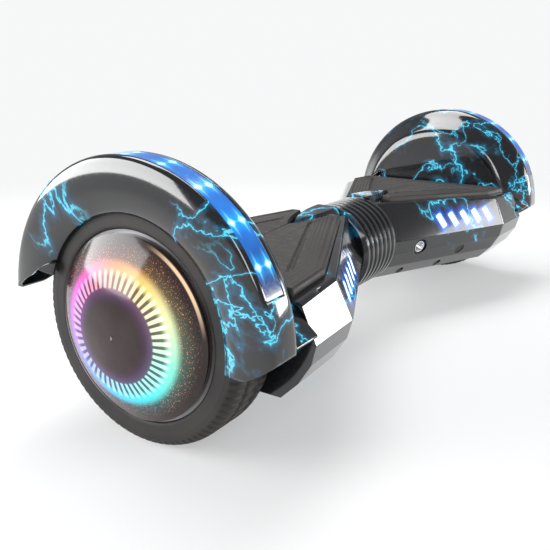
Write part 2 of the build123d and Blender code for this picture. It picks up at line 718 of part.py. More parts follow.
def build():
    """Every node by name, in both halves."""
    pairs = {
        "tyre": tyre, "rim": rim, "motor_cover": motor_cover, "wheel_bearings": wheel_bearings,
        "magnet_ring": magnet_ring, "stator_core": stator_core, "windings": windings, "axle": axle,
        "hub_light_board": hub_light_board, "hub_cover": hub_cover, "axle_clamp": axle_clamp,
        "screws": screws, "chassis": chassis, "top_shell": top_shell, "bottom_shell": bottom_shell,
        "fender": fender, "fender_lens": fender_lens, "fender_led_strip": fender_led_strip,
        "front_light_lens": front_light_lens, "front_light_board": front_light_board,
        "foot_pad": foot_pad, "foot_sensor_board": foot_sensor_board, "nose": nose,
    }
    right_only = {"chassis": right_chassis, "bottom_shell": right_bottom_shell}
    nodes = {}
    for name, make in pairs.items():
        shape = make()
        nodes["left_" + name] = mirrored(shape)
        nodes["right_" + name] = right_only[name]() if name in right_only else shape
    nodes["left_pivot_bushes"] = mirrored(pivot_bushes(fit))
    nodes["right_pivot_bushes"] = pivot_bushes(running)
    nodes["battery_pack"] = mirrored(battery_pack())
    nodes["battery_strap"] = mirrored(battery_strap())
    for make in (pivot_tube, retaining_ring, wire_bundle, knuckle_cover, main_board, speaker,
                 charge_port, power_button, button_housing):
        nodes[make.__name__] = make()
    return nodes


os.makedirs("parts", exist_ok=True)
for node_name, node_shape in build().items():
    export_step(node_shape, "parts/" + node_name + ".step")
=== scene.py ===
from math import atan2, cos, pi, radians, sin, tan

import bmesh
import bpy
import numpy as np
from mathutils import Matrix, Vector


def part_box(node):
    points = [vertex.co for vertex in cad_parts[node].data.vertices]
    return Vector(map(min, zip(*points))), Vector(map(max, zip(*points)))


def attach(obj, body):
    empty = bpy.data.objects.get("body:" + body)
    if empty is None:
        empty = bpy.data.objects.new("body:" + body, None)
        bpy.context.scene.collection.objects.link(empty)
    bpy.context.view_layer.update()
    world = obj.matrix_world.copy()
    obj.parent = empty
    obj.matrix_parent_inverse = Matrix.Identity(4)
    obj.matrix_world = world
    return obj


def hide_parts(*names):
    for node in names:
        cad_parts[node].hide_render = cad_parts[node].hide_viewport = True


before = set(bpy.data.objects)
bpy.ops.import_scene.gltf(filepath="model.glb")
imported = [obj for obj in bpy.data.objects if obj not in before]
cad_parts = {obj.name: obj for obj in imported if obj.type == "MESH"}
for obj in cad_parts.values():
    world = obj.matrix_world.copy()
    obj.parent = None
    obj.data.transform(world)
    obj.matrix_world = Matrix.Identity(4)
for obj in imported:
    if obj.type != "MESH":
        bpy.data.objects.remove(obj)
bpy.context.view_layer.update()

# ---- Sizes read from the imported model, in metres ----
tyre_low, tyre_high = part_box("right_tyre")
dome_low, dome_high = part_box("right_hub_cover")
fender_low, fender_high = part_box("right_fender")
lens_low, lens_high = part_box("right_fender_lens")
shell_low, shell_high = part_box("right_top_shell")
axle_z = (tyre_low.z + tyre_high.z) / 2
wheel_radius = (tyre_high.z - tyre_low.z) / 2
tyre_half = (tyre_high.x - tyre_low.x) / 2
wheel_x = (tyre_high.x + tyre_low.x) / 2
fender_radius = fender_high.z - axle_z
fender_in_x, fender_out_x = fender_low.x, fender_high.x
neck_x, body_end_x = shell_low.x, shell_high.x
dome_radius = (dome_high.z - dome_low.z) / 2
MM = 0.001

# ---- Sizes of the mouldings, as the frame has them ----
rim_radius = 64.0 * MM
neck_y, corner_x, corner_y, end_y = 37.0 * MM, 178.0 * MM, 103.0 * MM, 106.0 * MM
waist_z = 78.0 * MM
side_lean = 0.44
slope = radians(3.2)
deck_end_z = 104.0 * MM
deck_mid_z = deck_end_z + body_end_x * tan(slope)
side_angle = atan2(corner_y - neck_y, corner_x - neck_x)
end_angle = atan2(end_y - corner_y, body_end_x - corner_x)
pad_stand = 5.5 * MM
slot_pitch, slot_width, slot_length = 17.0 * MM, 7.0 * MM, 15.0 * MM
slot_lean = radians(24)
slots_from_corner = 18.0 * MM
slot_count = 5
lamp_rows, lamp_pitch, first_lamp = 9, 15.0, 30.0   # degrees up from the front, along the rim
lens_start, lens_end = 20.0, 160.0


# ---- Finishes ----

class Field:
    """A number, vector or colour that varies over a surface, with arithmetic on numbers."""

    def __init__(self, finish, socket):
        self.finish, self.socket = finish, socket

    def __add__(self, other):
        return self.finish.math("ADD", self, other)

    def __sub__(self, other):
        return self.finish.math("SUBTRACT", self, other)

    def __rsub__(self, other):
        return self.finish.math("SUBTRACT", other, self)

    def __mul__(self, other):
        return self.finish.math("MULTIPLY", self, other)

    def __truediv__(self, other):
        return self.finish.math("DIVIDE", self, other)

    def __rtruediv__(self, other):
        return self.finish.math("DIVIDE", other, self)

    def __pow__(self, other):
        return self.finish.math("POWER", self, other)

    def __abs__(self):
        return self.finish.math("ABSOLUTE", self)

    __radd__, __rmul__ = __add__, __mul__

    def least(self, other):
        return self.finish.math("MINIMUM", self, other)

    def most(self, other):
        return self.finish.math("MAXIMUM", self, other)

    def part(self):
        """What is left after the whole number below."""
        return self.finish.math("FLOORED_MODULO", self, 1.0)

    def nearest(self):
        return self.finish.math("ROUND", self)

    def ramp(self, low, high, before, after):
        return self.finish.node("ShaderNodeMapRange", {"interpolation_type": "SMOOTHSTEP"},
                                {0: self, 1: low, 2: high, 3: before, 4: after})

    def rise(self, low, high):
        """0 below low, 1 above high, and a smooth rise between them."""
        return self.ramp(low, high, 0.0, 1.0)

    def fall(self, low, high):
        """1 below low, 0 above high, and a smooth fall between them."""
        return self.ramp(low, high, 1.0, 0.0)


def rgba(colour):
    return colour if isinstance(colour, Field) else (*colour, 1.0)


class Nodes:
    """A node tree, whose nodes are added by type: settings first, then sockets."""

    def __init__(self, tree):
        self.tree = tree

    def node(self, kind, settings=None, values=None, output=0):
        made = self.tree.nodes.new(kind)
        for key, value in (settings or {}).items():
            if key == "stops":
                self.set_stops(made.color_ramp.elements, value)
            else:
                setattr(made, key, value)
        for key, value in (values or {}).items():
            self.give(made.inputs[key], value)
        if isinstance(output, tuple):
            return [Field(self, made.outputs[o]) for o in output]
        return Field(self, made.outputs[output])

    def give(self, socket, value):
        """Links a field to the socket, or sets a plain value on it."""
        if isinstance(value, Field):
            self.tree.links.new(value.socket, socket)
        else:
            socket.default_value = value

    def set_stops(self, elements, stops):
        while len(elements) < len(stops):
            elements.new(0.5)
        for element, (position, colour) in zip(elements, stops):
            element.position, element.color = position, rgba(colour)

    def math(self, operation, *values):
        return self.node("ShaderNodeMath", {"operation": operation}, dict(enumerate(values)))

    def blend(self, amount, a, b, kind="MIX"):
        """Colour a where amount is 0, and colour b, mixed in or added, where it is 1."""
        return self.node("ShaderNodeMix", {"data_type": "RGBA", "blend_type": kind},
                         {0: amount, 6: rgba(a), 7: rgba(b)}, 2)


class Finish(Nodes):
    """A material with the patterns that the finishes share."""

    def __init__(self, name, **constants):
        self.material = bpy.data.materials.new(name)
        self.material.use_nodes = True
        super().__init__(self.material.node_tree)
        self.shader = self.tree.nodes["Principled BSDF"]
        for socket, value in constants.items():
            self.shader.inputs[socket.replace("_", " ")].default_value = value
        self.place = self.node("ShaderNodeTexCoord", output="Object")
        self.x, self.y, self.z = self.node("ShaderNodeSeparateXYZ", None, {0: self.place}, (0, 1, 2))

    def vary(self, **fields):
        """Links each field to the shader's socket of that name."""
        for socket, field in fields.items():
            self.give(self.shader.inputs[socket.replace("_", " ")], field)
        return self

    def glow(self, *parts):
        """The sum of colours, each times its amount."""
        total = None
        for amount, colour in parts:
            layer = self.blend(amount, (0, 0, 0), colour)
            total = layer if total is None else self.blend(1.0, total, layer, "ADD")
        return total

    def noise(self, scale, detail=3.0, shift=(0, 0, 0), stretch=(1, 1, 1), roughness=0.5, distortion=0.0):
        spot = self.node("ShaderNodeMapping", None,
                         {"Vector": self.place, "Location": shift, "Scale": stretch})
        return self.node("ShaderNodeTexNoise", None,
                         {"Vector": spot, "Scale": scale, "Detail": detail,
                          "Roughness": roughness, "Distortion": distortion})

    def away(self, point):
        """Distance to a point."""
        return self.node("ShaderNodeVectorMath", {"operation": "DISTANCE"},
                         {0: self.place, 1: point}, "Value")

    def bump(self, height, distance, strength=1.0):
        normal = self.node("ShaderNodeBump", None,
                           {"Height": height, "Distance": distance, "Strength": strength})
        return self.vary(Normal=normal)

    def strand(self, scale, width, shift, patch=0.5, haze=7, roughness=0.55):
        """Lightning: thin lines where a noise crosses its middle value, kept in patches of another noise,
        and the wider haze round them."""
        level = abs(self.noise(scale, 7.0, shift, roughness=roughness, distortion=0.35) - 0.5)
        region = self.noise(scale * 0.45, 1.0, tuple(s + 5 for s in shift)).rise(patch, patch + 0.05)
        return level.fall(0.0, width) * region, level.fall(0.0, width * haze) ** 2.0 * region


LIGHTNING, LIGHTNING_HAZE = (0.12, 0.75, 0.95), (0.0, 0.22, 0.42)


def gloss(name, base, strands, patches=(), extra=None):
    """Lacquered shell print: near black with lightning strands, denser in the named patches, and a faint
    orange peel. extra adds another glow."""
    f = Finish(name, Specular_IOR_Level=0.5, Coat_Roughness=0.03, Coat_Weight=0.6, Emission_Strength=1.0)
    core = haze = None
    for scale, width, shift, patch in strands:
        line, mist = f.strand(scale, width, shift, patch)
        core = line if core is None else core.most(line)
        haze = mist if haze is None else haze.most(mist)
    for point, reach, scale, shift in patches:
        near = f.away(point).fall(reach * 0.45, reach)
        line, mist = f.strand(scale, 0.012, shift, 0.0)
        core = core.most(line * near)
        haze = haze.most(mist * near)
    glow = f.glow((haze * 0.5, LIGHTNING_HAZE), (core, LIGHTNING))
    if extra is not None:
        glow = f.blend(1.0, glow, extra(f), "ADD")
    shade = f.noise(9, 2.0).rise(0.3, 0.7)
    dust = f.noise(900, 2.0)
    colour = f.blend(shade, base, tuple(c * 1.6 for c in base))
    f.vary(Base_Color=colour, Emission_Color=glow, Roughness=dust.rise(0.2, 0.8) * 0.05 + 0.09)
    return f.bump(f.noise(160, 1.0), 0.00006, 0.35).material


def panel_frame():
    """The slanted side of the right half at its first light slot: a point on it, then the
    directions along it, up its slope and out of it."""
    lean = atan2(1, side_lean)
    height = 13.0 * MM
    x = corner_x - slots_from_corner * cos(side_angle)
    y = neck_y - side_lean * height / cos(side_angle) + tan(side_angle) * (x - neck_x)
    normal = Vector((-sin(side_angle) * sin(lean), -cos(side_angle) * sin(lean), cos(lean)))
    along = Vector((-cos(side_angle), sin(side_angle), 0))
    return Vector((x, -y, waist_z + height)), along, normal.cross(along), normal


def slot_glow(f):
    """Blue light round the five slots: the distance to the nearest slanted rounded bar, on the panel's
    plane."""
    origin, along, up, normal = panel_frame()
    rest = [abs(f.x) - origin.x, f.y - origin.y, f.z - origin.z]

    def along_axis(axis):
        return rest[0] * axis.x + rest[1] * axis.y + rest[2] * axis.z

    a, b, off = along_axis(along), along_axis(up), along_axis(normal)
    index = ((a + b * tan(slot_lean)) / slot_pitch).nearest().most(0.0).least(slot_count - 1.0)
    da = a - index * slot_pitch
    u = abs(da * cos(slot_lean) + b * sin(slot_lean)) - slot_width / 2
    v = abs(b * cos(slot_lean) - da * sin(slot_lean)) - slot_length / 2
    gap = (u.most(0.0) ** 2.0 + v.most(0.0) ** 2.0) ** 0.5
    face = abs(off).fall(0.003, 0.006)
    edge, haze = gap.fall(0.0004, 0.0022) * face, gap.fall(0.0, 0.011) ** 2.0 * face
    return f.glow((edge, (0.02, 0.30, 1.0)), (haze * 0.8, (0.0, 0.08, 0.70)))


def turn_about_axle(f):
    """Distance from the axle's line, and the turn from the top towards the front as a share of a
    full turn."""
    up = f.z - axle_z
    radius = (f.y ** 2.0 + up ** 2.0) ** 0.5
    return radius, (f.math("ARCTAN2", f.y * -1.0, up) / (2 * pi)).part()


RING_COLOURS = [
    (0.0, (1.0, 0.30, 0.06)), (0.10, (1.0, 0.72, 0.22)), (0.20, (0.85, 1.0, 0.55)),
    (0.30, (0.25, 1.0, 0.75)), (0.42, (0.03, 0.85, 0.90)), (0.53, (0.05, 0.62, 1.0)),
    (0.63, (0.08, 0.22, 1.0)), (0.73, (0.42, 0.10, 1.0)), (0.84, (0.95, 0.10, 0.75)),
    (0.93, (1.0, 0.12, 0.30)), (1.0, (1.0, 0.30, 0.06))]
RING_TICKS = 48.0


def hub_tint():
    """Tinted dome: a ring of coloured light with radial ticks inside it, sparkles outside, and a dark
    middle."""
    f = Finish("hub_tint", Specular_IOR_Level=0.28, Coat_Weight=0.12, Coat_Roughness=0.04,
               Emission_Strength=1.0)
    radius, turn = turn_about_axle(f)
    share = radius / dome_radius
    colour = f.node("ShaderNodeValToRGB", {"stops": RING_COLOURS}, {0: turn}, "Color")
    tick = abs((turn * RING_TICKS).part() - 0.5).fall(0.20, 0.34)
    ticks = tick * share.rise(0.49, 0.515) * share.fall(0.64, 0.70)
    band = share.rise(0.60, 0.68) * share.fall(0.70, 0.80)
    haze = share.rise(0.40, 0.60) * share.fall(0.70, 0.95)
    speck = f.noise(1500, 0.0, (3, 1, 2)).rise(0.70, 0.74) * share.rise(0.7, 0.78) * share.fall(0.85, 0.98)
    rim = share.rise(0.955, 0.97) * share.fall(0.985, 0.995)
    warm, cool = abs(turn - 0.14).fall(0.02, 0.10) * rim, abs(turn - 0.66).fall(0.02, 0.12) * rim
    bright = f.blend(0.35, colour, (1, 1, 1))
    middle = share.rise(0.34, 0.5) * share.fall(0.5, 0.53)
    glow = f.glow((ticks, bright), (band * 0.9, colour), (haze * 0.16, colour),
                  (speck * 0.8, (1.0, 0.35, 0.15)), (warm, (1.0, 0.72, 0.45)), (cool, (0.75, 0.7, 1.0)),
                  (middle * 0.12, (0.5, 0.1, 0.8)))
    base = f.blend(f.noise(30, 2.0).rise(0.3, 0.7), (0.020, 0.012, 0.013), (0.034, 0.021, 0.021))
    f.vary(Base_Color=base, Emission_Color=glow, Roughness=f.noise(700, 2.0).rise(0.2, 0.8) * 0.06 + 0.10)
    return f.bump(f.noise(120, 1.0), 0.00008, 0.25).material


def blue_window():
    """Translucent rim window: blue, brighter over the lamps, with a white point and star streaks at each
    lamp."""
    f = Finish("blue_window", Specular_IOR_Level=0.5, Coat_Weight=0.5, Coat_Roughness=0.05,
               Emission_Strength=1.0)
    turn = f.math("ARCTAN2", f.z - axle_z, f.y * -1.0) * (180 / pi)
    row = ((turn - first_lamp) / lamp_pitch).nearest().most(0.0).least(lamp_rows - 1.0)
    arc = abs(turn - row * lamp_pitch - first_lamp) * (pi / 180 * fender_radius)
    low, high = lens_low.x + 3.2 * MM, lens_high.x - 3.2 * MM
    across = abs(abs(f.x) - low).least(abs(abs(f.x) - high))
    away = (arc ** 2.0 + across ** 2.0) ** 0.5
    dot, halo = away.fall(0.0008, 0.0034), away.fall(0.0, 0.0105) ** 1.4
    thin = 0.0012
    streak = arc.fall(0.0, thin) * across.fall(0.0, 0.007) + across.fall(0.0, thin) * arc.fall(0.0, 0.012)
    navy = turn.rise(20.0, 42.0)
    body = f.blend(navy, (0.0, 0.03, 0.16), (0.0, 0.20, 0.66))
    glow = f.glow((f.noise(60, 2.0).rise(0.2, 0.8) * 0.35 + 0.5, body), (halo * 0.9, (0.0, 0.42, 0.95)),
                  (streak.least(1.0) * 0.7, (0.35, 0.85, 1.0)), (dot, (0.75, 1.0, 1.0)))
    f.vary(Base_Color=f.blend(navy, (0.0, 0.01, 0.05), (0.01, 0.06, 0.28)), Emission_Color=glow,
           Roughness=f.noise(500, 2.0).rise(0.2, 0.8) * 0.1 + 0.12)
    return f.bump(f.noise(300, 1.0), 0.00008, 0.4).material


def lamp_white():
    """Light bars: white with a cool edge and fine prisms along them."""
    f = Finish("lamp_white", Specular_IOR_Level=0.5, Emission_Strength=1.0)
    prism = abs((f.z / 0.0012).part() - 0.5) * 2.0
    f.vary(Base_Color=f.blend(prism, (0.70, 0.78, 0.86), (0.82, 0.88, 0.94)),
           Emission_Color=f.blend(prism * 0.4 + f.noise(80, 1.0) * 0.3, (0.86, 0.94, 1.0), (0.50, 0.74, 1.0)),
           Roughness=f.noise(400, 1.0) * 0.2 + 0.25)
    return f.bump(prism, 0.0001, 0.5).material


def rubber(name, base, worn, grain, depth):
    """Matt rubber with a fine grain, dusty where a slow noise is high."""
    f = Finish(name, Specular_IOR_Level=0.35)
    dust = f.noise(18, 4.0, roughness=0.65).rise(0.35, 0.75)
    fine = f.noise(grain, 3.0)
    f.vary(Base_Color=f.blend(dust * 0.7 + fine * 0.2, base, worn), Roughness=dust * 0.2 + fine * 0.12 + 0.42)
    return f.bump(fine, depth, 0.6).material


def metal(name, colour, roughness, stretch=(1, 1, 1), grain=260.0):
    """Metal with fine marks along one direction and slow changes of shine."""
    f = Finish(name, Metallic=1.0)
    marks = f.noise(grain, 3.0, stretch=stretch)
    slow = f.noise(25, 3.0)
    f.vary(Base_Color=f.blend(slow, tuple(c * 0.75 for c in colour), colour),
           Roughness=marks * 0.18 + slow * 0.1 + roughness)
    return f.bump(marks, 0.00004, 0.5).material


def plastic(name, colour, roughness, grain=420.0):
    """Moulded plastic with a spark-eroded grain."""
    f = Finish(name, Specular_IOR_Level=0.5)
    fine, slow = f.noise(grain, 2.0), f.noise(20, 3.0)
    f.vary(Base_Color=f.blend(slow, tuple(c * 0.7 for c in colour), colour),
           Roughness=fine * 0.15 + roughness)
    return f.bump(fine, 0.00005, 0.6).material


def circuit_board():
    """Green solder mask with copper tracks and tinned pads in cells."""
    f = Finish("circuit_board", Specular_IOR_Level=0.5)
    cell = f.node("ShaderNodeTexVoronoi", {"feature": "DISTANCE_TO_EDGE"},
                  {"Vector": f.place, "Scale": 190.0})
    spots = f.node("ShaderNodeTexVoronoi", None, {"Vector": f.place, "Scale": 240.0})
    track, pad = cell.fall(0.02, 0.05), spots.fall(0.10, 0.16)
    mask = f.blend(track, (0.006, 0.05, 0.022), (0.02, 0.13, 0.06))
    f.vary(Base_Color=f.blend(pad, mask, (0.6, 0.6, 0.58)), Metallic=pad,
           Roughness=f.noise(300, 2.0) * 0.2 + 0.3)
    return f.bump(track + pad, 0.00005, 0.5).material


def coil(name, colour):
    """Enamelled wire laid in turns across X, with painted shade: each turn's colour darkens towards the
    groove between turns.
    """
    f = Finish(name, Metallic=0.9)
    turns = abs((f.x / 0.0008).part() - 0.5) * 2.0
    # painted shade: the colour falls to 0.35 of itself in the groove between turns, where the bump is lowest
    f.vary(Base_Color=f.blend(turns, tuple(c * 0.35 for c in colour), colour),
           Roughness=f.noise(200, 2.0) * 0.15 + 0.22)
    return f.bump(turns, 0.0003, 0.8).material


BLACK = (0.0045, 0.0048, 0.0056)
FINISHES = {
    "gloss_black": gloss("gloss_black", BLACK, [(7.0, 0.005, (1, 2, 3), 0.58), (14, 0.006, (7, 4, 2), 0.61)]),
    "deck_black": gloss("deck_black", BLACK, [(8.5, 0.005, (4, 1, 6), 0.56), (17, 0.006, (2, 9, 2), 0.60)],
                        extra=slot_glow),
    "fender_black": gloss("fender_black", BLACK,
                          [(6.0, 0.005, (3, 8, 1), 0.57), (13, 0.006, (6, 3, 9), 0.61)],
                          patches=[((-0.275, -0.085, 0.105), 0.055, 16.0, (2, 2, 5)),
                                   ((-0.288, 0.060, 0.150), 0.035, 14.0, (8, 2, 1)),
                                   ((0.233, -0.01, 0.15), 0.07, 13.0, (1, 7, 3))]),
    "knuckle_black": gloss("knuckle_black", BLACK,
                           [(13, 0.010, (5, 5, 1), 0.50), (24, 0.009, (1, 3, 8), 0.56)]),
    "hub_tint": hub_tint(),
    "blue_window": blue_window(),
    "lamp_white": lamp_white(),
    "tyre_rubber": rubber("tyre_rubber", (0.012, 0.011, 0.011), (0.040, 0.036, 0.033), 1400, 0.00012),
    "pad_rubber": rubber("pad_rubber", (0.022, 0.019, 0.018), (0.050, 0.043, 0.039), 1100, 0.00014),
    "motor_alloy": metal("motor_alloy", (0.30, 0.30, 0.31), 0.30),
    "bearing_steel": metal("bearing_steel", (0.62, 0.62, 0.63), 0.12),
    "magnet_nickel": metal("magnet_nickel", (0.60, 0.58, 0.54), 0.18),
    "lamination_steel": metal("lamination_steel", (0.36, 0.36, 0.38), 0.30, (60, 1, 1), 30),
    "copper_wire": coil("copper_wire", (0.85, 0.36, 0.16)),
    "axle_steel": metal("axle_steel", (0.50, 0.50, 0.51), 0.22, (12, 1, 1), 60),
    "cast_alloy": metal("cast_alloy", (0.52, 0.53, 0.54), 0.42, grain=500),
    "screw_steel": metal("screw_steel", (0.55, 0.54, 0.50), 0.2),
    "bush_bronze": metal("bush_bronze", (0.62, 0.42, 0.20), 0.25),
    "socket_chrome": metal("socket_chrome", (0.75, 0.76, 0.77), 0.08),
    "circuit_board": circuit_board(),
    "battery_wrap": plastic("battery_wrap", (0.02, 0.10, 0.30), 0.28, 90),
    "wire_sleeve": coil("wire_sleeve", (0.06, 0.06, 0.06)),
    "speaker_black": plastic("speaker_black", (0.02, 0.02, 0.02), 0.55),
    "button_black": plastic("button_black", (0.03, 0.03, 0.03), 0.38),
}
NODE_FINISHES = {
    "tyre": "tyre_rubber", "rim": "motor_alloy", "motor_cover": "motor_alloy",
    "wheel_bearings": "bearing_steel", "magnet_ring": "magnet_nickel",
    "stator_core": "lamination_steel", "windings": "copper_wire", "axle": "axle_steel",
    "hub_light_board": "circuit_board", "hub_cover": "hub_tint", "axle_clamp": "cast_alloy",
    "screws": "screw_steel", "chassis": "cast_alloy", "top_shell": "deck_black",
    "bottom_shell": "gloss_black", "fender": "fender_black", "fender_lens": "blue_window",
    "fender_led_strip": "circuit_board", "front_light_lens": "lamp_white",
    "front_light_board": "circuit_board", "foot_pad": "pad_rubber",
    "foot_sensor_board": "circuit_board", "nose": "knuckle_black", "pivot_bushes": "bush_bronze",
    "battery_pack": "battery_wrap", "battery_strap": "axle_steel", "pivot_tube": "axle_steel",
    "retaining_ring": "screw_steel", "wire_bundle": "wire_sleeve", "knuckle_cover": "knuckle_black",
    "main_board": "circuit_board", "speaker": "speaker_black", "charge_port": "socket_chrome",
    "power_button": "button_black", "button_housing": "button_black",
}


def finish_nodes():
    """Gives every carried-over node the finish of its kind."""
    for name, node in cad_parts.items():
        kind = name.removeprefix("left_").removeprefix("right_")
        node.data.materials.clear()
        node.data.materials.append(FINISHES[NODE_FINISHES[kind]])


# ---- Making pieces ----

def grid_mesh(name, points, finish, across=False, around=False, keep=None, caps=False):
    """A mesh from a grid of points, rows by columns, joined at its ends where it goes around, less
    the cells not kept."""
    rows, columns = points.shape[:2]
    index = np.arange(rows * columns).reshape(rows, columns)
    if around:
        index = np.vstack([index, index[:1]])
    if across:
        index = np.hstack([index, index[:, :1]])
    quads = np.stack([index[:-1, :-1], index[1:, :-1], index[1:, 1:], index[:-1, 1:]], axis=-1)
    if keep is not None:
        quads = quads[keep]
    faces = quads.reshape(-1, 4).tolist()
    if caps:
        faces += [index[0, :columns].tolist(), index[-1, :columns][::-1].tolist()]
    mesh = bpy.data.meshes.new(name)
    mesh.from_pydata(points.reshape(-1, 3).tolist(), [], faces)
    mesh.polygons.foreach_set("use_smooth", [True] * len(mesh.polygons))
    mesh.materials.append(FINISHES[finish])
    piece = bpy.data.objects.new(name, mesh)
    bpy.context.scene.collection.objects.link(piece)
    return piece


def tidy_mesh(piece, outwards=True):
    """Merges doubled points and turns every face the same way."""
    work = bmesh.new()
    work.from_mesh(piece.data)
    bmesh.ops.remove_doubles(work, verts=work.verts, dist=1e-6)
    bmesh.ops.dissolve_degenerate(work, edges=work.edges, dist=1e-7)
    if outwards:
        bmesh.ops.recalc_face_normals(work, faces=work.faces)
    work.to_mesh(piece.data)
    work.free()


def thicken(piece, wall):
    """Gives an open surface its wall, on the side away from where its faces point."""
    solid = piece.modifiers.new("wall", "SOLIDIFY")
    solid.thickness, solid.offset = wall, -1.0
    solid.use_even_offset = False


def mirror_x(points, side):
    return points * np.array([side, 1.0, 1.0])


SIDES = {"left": -1.0, "right": 1.0}


def tyre(side):
    """The tyre turned about the axle: a rounded section whose crown is cut by grooves, sipes and H-shaped
    slots."""
    around, across = 720, 96
    half, depth = tyre_half, wheel_radius - rim_radius
    shoulder, toe, tread_depth, bead = 9.0 * MM, 1.5 * MM, 2.0 * MM, 0.4 * MM
    bend = [(half - shoulder * (1 - cos(a)), depth - shoulder * (1 - sin(a)))
            for a in np.linspace(0.1, pi / 2, 14)]
    path = np.array([(-half + toe, 0), (-half, toe), (-half, depth - shoulder)]
                    + [(-x, r) for x, r in bend] + bend[::-1]
                    + [(half, depth - shoulder), (half, toe), (half - toe, 0), (-half + toe, 0)])
    run = np.concatenate([[0], np.cumsum(np.hypot(*np.diff(path, axis=0).T))])
    t = np.linspace(0, 1, across, endpoint=False)
    x = np.interp(t * run[-1], run, path[:, 0])
    r = np.interp(t * run[-1], run, path[:, 1])
    X, T = np.meshgrid(x, np.arange(around) / around)
    R = np.broadcast_to(r, X.shape)
    crown = np.clip((R - depth + 5.5 * MM) / (2 * MM), 0, 1)
    away = np.abs(X)

    def bar(distance, width):
        return np.clip((width - distance) / (0.35 * MM) + 0.5, 0, 1)

    def phase(count, shift=0.0):
        """Distance along the tread to the nearest of count marks."""
        return np.abs((T * count + shift) % 1 - 0.5) * 2 * pi * wheel_radius / count

    groove = bar(np.abs(away - tyre_half / 3), 1.1 * MM)
    sipes = bar(phase(90), 0.75 * MM) * bar(np.abs(away - 14.5 * MM), 5.5 * MM)
    spine = bar(phase(60, 0.25), 0.8 * MM) * bar(away, 4.0 * MM)
    legs = bar(np.abs(away - 4.2 * MM), 0.7 * MM) * bar(phase(60, 0.25), 2.2 * MM)
    cut = np.maximum.reduce([groove, sipes, spine, legs]) * crown * (R > 6 * MM)
    on_wall = away > half - 0.5 * MM
    band = bead * np.clip(1 - np.abs(R - 9.5 * MM) / (0.6 * MM), 0, 1)
    X = X + np.sign(X) * on_wall * (band - bead)
    R = rim_radius + R - cut * tread_depth
    points = np.stack([wheel_x + X, -R * np.cos(2 * pi * T), axle_z + R * np.sin(2 * pi * T)], axis=-1)
    piece = grid_mesh(side + "_tyre_tread", mirror_x(points, SIDES[side]), "tyre_rubber",
                      across=True, around=True)
    tidy_mesh(piece)
    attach(piece, side + "_wheel")
    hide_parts(side + "_tyre")


def rounded(path, spacing):
    """The path through the given points as a Catmull-Rom curve, sampled evenly."""
    p = np.vstack([2 * path[0] - path[1], path, 2 * path[-1] - path[-2]])
    t = np.linspace(0, 1, 12, endpoint=False)[:, None]
    spans = [0.5 * ((2 * b) + (c - a) * t + (2 * a - 5 * b + 4 * c - d) * t ** 2
                    + (3 * b - a - 3 * c + d) * t ** 3)
             for a, b, c, d in zip(p[:-3], p[1:-2], p[2:-1], p[3:])]
    dense = np.vstack(spans + [path[-1:]])
    run = np.concatenate([[0], np.cumsum(np.linalg.norm(np.diff(dense, axis=0), axis=1))])
    even = np.linspace(0, run[-1], int(run[-1] / spacing) + 2)
    return np.stack([np.interp(even, run, dense[:, i]) for i in range(2)], axis=1)


# Where the fender's front and rear edges lie: (mm from the axle, degrees up from the front). The inner wall
# has its own, because it closes round the axle.
FENDER_TOP = fender_radius / MM
WALL_START = [(0, -90), (20, -90), (24, -56.4), (30, -41.8), (45, -26.4), (60, -19.5), (67, -17.4),
              (71, -9.3), (91.6, -6.6), (FENDER_TOP, 0.8)]
WALL_END = [(0, 270), (20, 270), (24, 236.4), (30, 221.8), (45, 206.4), (60, 199.5), (67, 197.4),
            (72, 172), (77.1, 153.4), (92.2, 166.2), (FENDER_TOP, 175.1)]
FACE_START = [(71, -9.3), (91.6, -6.6), (FENDER_TOP, 0.8)]
FACE_END = [(74, 152.0), (77.1, 153.4), (92.2, 166.2), (FENDER_TOP, 175.1)]


def edge_turn(r, table):
    """The turn at which an edge lies at radius r, read from its table."""
    return np.interp(r, *zip(*table))


